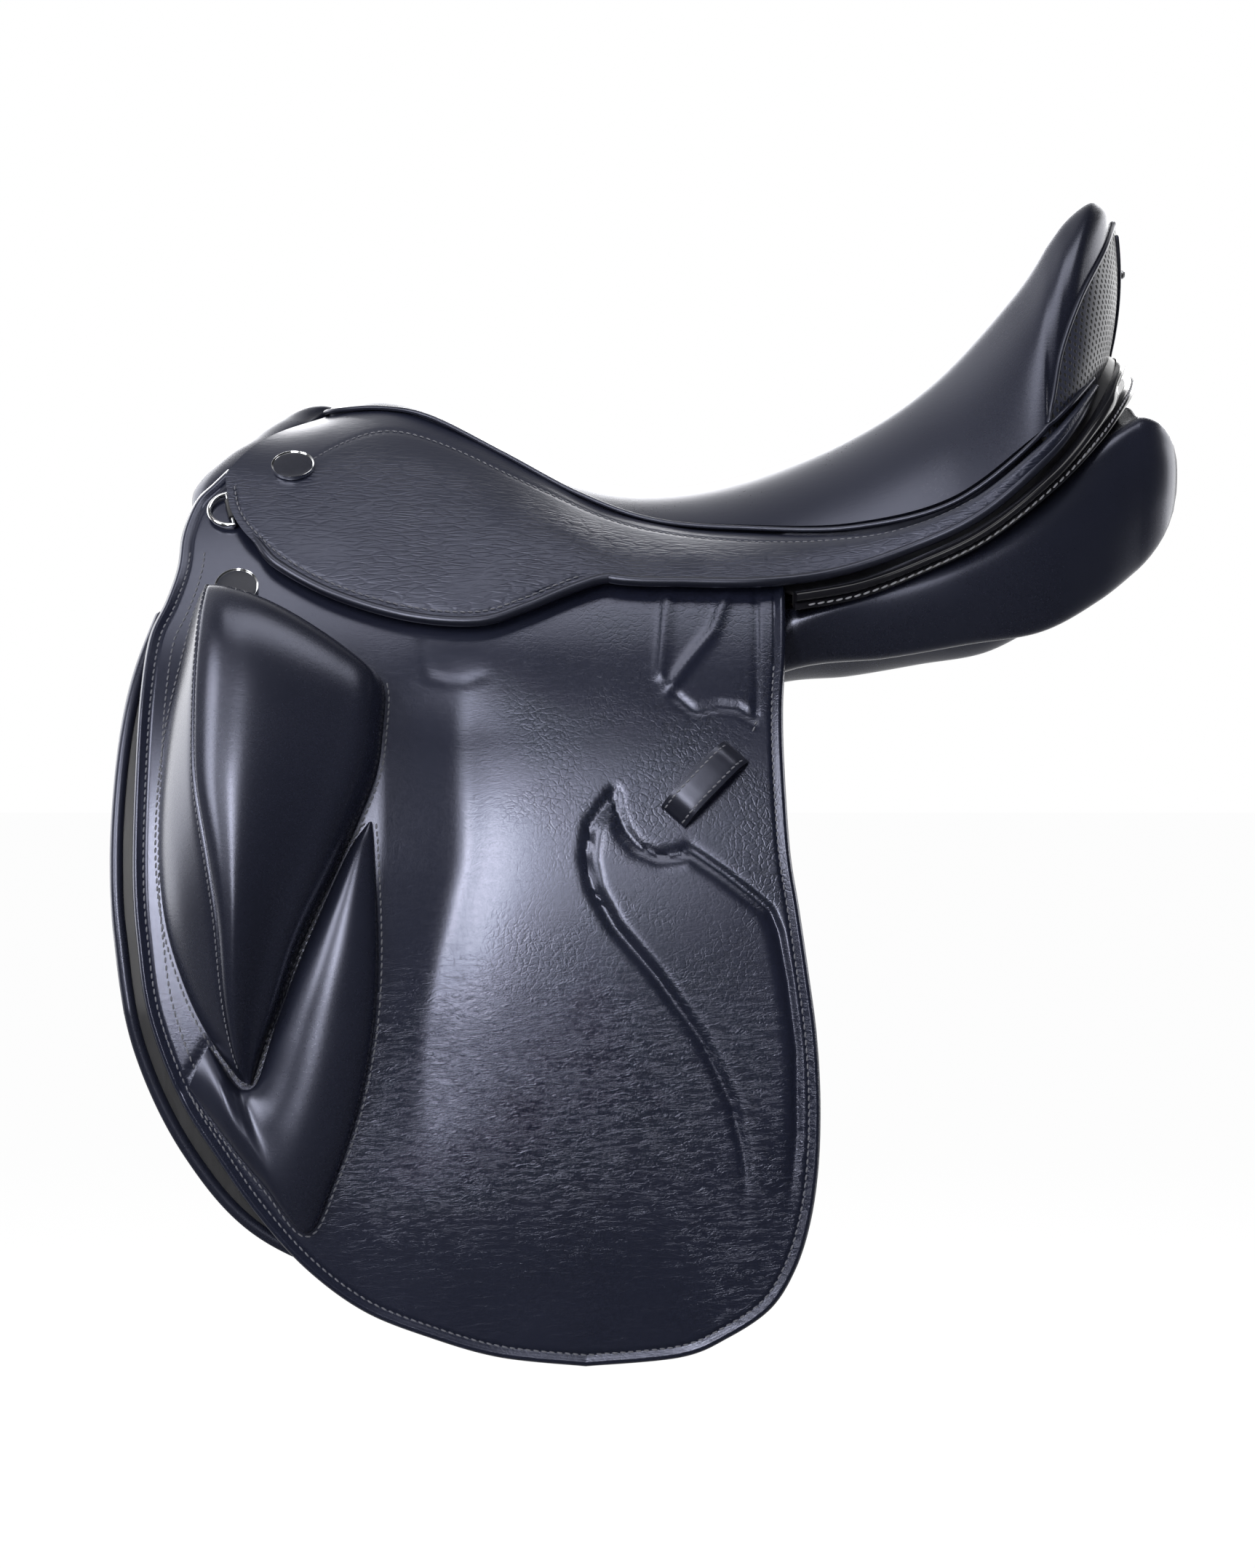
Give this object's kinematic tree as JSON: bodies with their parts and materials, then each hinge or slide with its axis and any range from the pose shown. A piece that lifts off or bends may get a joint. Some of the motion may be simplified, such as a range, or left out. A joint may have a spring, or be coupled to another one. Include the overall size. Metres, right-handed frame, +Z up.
{
  "type": "dressage saddle",
  "caption": "Leather dressage saddle with a deep seat, long flaps that lift, knee blocks, skirts over stirrup bars, padded panels and girth straps.",
  "frame": {"origin": "on the middle plane, 53 mm under the lowest point of the seat, at the top of the gullet channel", "axes": "+X to the rear (cantle), +Y to the off (right) side, +Z up"},
  "size_m": [0.505, 0.4596, 0.5652],
  "materials": {
    "calf": "smooth calf, soft sheen",
    "hide": "grained hide, soft sheen",
    "lining": "dark strap leather, matt",
    "patent": "patent leather, glossy",
    "perforated": "perforated, satin",
    "piping": "rolled piping, satin",
    "steel": "brushed",
    "chrome": "polished",
    "stud": "dark dome in a polished rim",
    "wood": "laminated, sanded",
    "linen": "woven webbing",
    "foam": "open foam"
  },
  "bodies": {
    "saddle": {"saddle_tree": "wood", "gullet_plate": "steel", "gullet_rivets": "steel", "tree_springs": "steel", "seat_webbing": "linen", "seat_foam": "foam", "seat_cover": "calf", "cantle_piping": "piping", "cantle_back": "perforated", "cantle_trim": "patent", "cantle_stud": "steel", "front_arch": "calf", "left_skirt_top": "hide", "left_seat_piping": "piping", "left_flap_top": "hide", "left_panel": "calf", "left_sweat_flap": "lining", "left_stirrup_bar": "steel", "left_bar_rivets": "steel", "left_bar_pin": "steel", "left_girth_web": "linen", "left_girth_rivets": "steel", "left_skirt_stud": "stud", "right_skirt_top": "hide", "right_seat_piping": "piping", "right_flap_top": "hide", "right_panel": "calf", "right_sweat_flap": "lining", "right_stirrup_bar": "steel", "right_bar_rivets": "steel", "right_bar_pin": "steel", "right_girth_web": "linen", "right_girth_rivets": "steel", "right_skirt_stud": "stud"},
    "left_flap": {"left_flap": "hide", "left_knee_block": "calf", "left_knee_pad": "calf", "left_keeper": "patent", "left_flap_stud": "stud", "left_ring_chape": "hide"},
    "left_skirt": {"left_skirt": "hide", "left_skirt_welt": "piping"},
    "left_d_ring": {"left_d_ring": "chrome"},
    "left_bar_catch": {"left_bar_catch": "steel"},
    "left_strap_front": {"left_strap_front": "lining"},
    "left_strap_rear": {"left_strap_rear": "lining"},
    "right_flap": {"right_flap": "hide", "right_knee_block": "calf", "right_knee_pad": "calf", "right_keeper": "patent", "right_flap_stud": "stud", "right_ring_chape": "hide"},
    "right_skirt": {"right_skirt": "hide", "right_skirt_welt": "piping"},
    "right_d_ring": {"right_d_ring": "chrome"},
    "right_bar_catch": {"right_bar_catch": "steel"},
    "right_strap_front": {"right_strap_front": "lining"},
    "right_strap_rear": {"right_strap_rear": "lining"}
  },
  "joints": [
    {"name": "left_flap_lift", "type": "hinge", "parent": "saddle", "child": "left_flap", "pos_m": [-0.194, -0.1052, 0.051], "axis": [-0.9484, 0.1803, 0.2609], "range_deg": [0, 75]},
    {"name": "left_skirt_lift", "type": "hinge", "parent": "left_flap", "child": "left_skirt", "pos_m": [-0.194, -0.1052, 0.051], "axis": [-0.9484, 0.1803, 0.2609], "range_deg": [0, 75]},
    {"name": "left_d_ring_swing", "type": "hinge", "parent": "left_flap", "child": "left_d_ring", "pos_m": [-0.1934, -0.1095, 0.034], "axis": [-0.2588, 0.5994, 0.7574], "range_deg": [0, 75]},
    {"name": "left_bar_catch_turn", "type": "hinge", "parent": "saddle", "child": "left_bar_catch", "pos_m": [-0.058, -0.12457, -0.00973], "axis": [0, -0.8443, 0.5358], "range_deg": [0, 90]},
    {"name": "left_strap_front_swing", "type": "hinge", "parent": "saddle", "child": "left_strap_front", "pos_m": [-0.036, -0.1358, -0.026], "axis": [0, 1, 0], "range_deg": [-2.5, 7]},
    {"name": "left_strap_rear_swing", "type": "hinge", "parent": "saddle", "child": "left_strap_rear", "pos_m": [0.02, -0.1358, -0.026], "axis": [0, 1, 0], "range_deg": [-7, 2.5]},
    {"name": "right_flap_lift", "type": "hinge", "parent": "saddle", "child": "right_flap", "pos_m": [-0.194, 0.1052, 0.051], "axis": [0.9484, 0.1803, -0.2609], "range_deg": [0, 75]},
    {"name": "right_skirt_lift", "type": "hinge", "parent": "right_flap", "child": "right_skirt", "pos_m": [-0.194, 0.1052, 0.051], "axis": [0.9484, 0.1803, -0.2609], "range_deg": [0, 75]},
    {"name": "right_d_ring_swing", "type": "hinge", "parent": "right_flap", "child": "right_d_ring", "pos_m": [-0.1934, 0.1095, 0.034], "axis": [0.2588, 0.5994, -0.7574], "range_deg": [0, 75]},
    {"name": "right_bar_catch_turn", "type": "hinge", "parent": "saddle", "child": "right_bar_catch", "pos_m": [-0.058, 0.12457, -0.00973], "axis": [0, -0.8443, -0.5358], "range_deg": [0, 90]},
    {"name": "right_strap_front_swing", "type": "hinge", "parent": "saddle", "child": "right_strap_front", "pos_m": [-0.036, 0.1358, -0.026], "axis": [0, 1, 0], "range_deg": [-2.5, 7]},
    {"name": "right_strap_rear_swing", "type": "hinge", "parent": "saddle", "child": "right_strap_rear", "pos_m": [0.02, 0.1358, -0.026], "axis": [0, 1, 0], "range_deg": [-7, 2.5]}
  ]
}
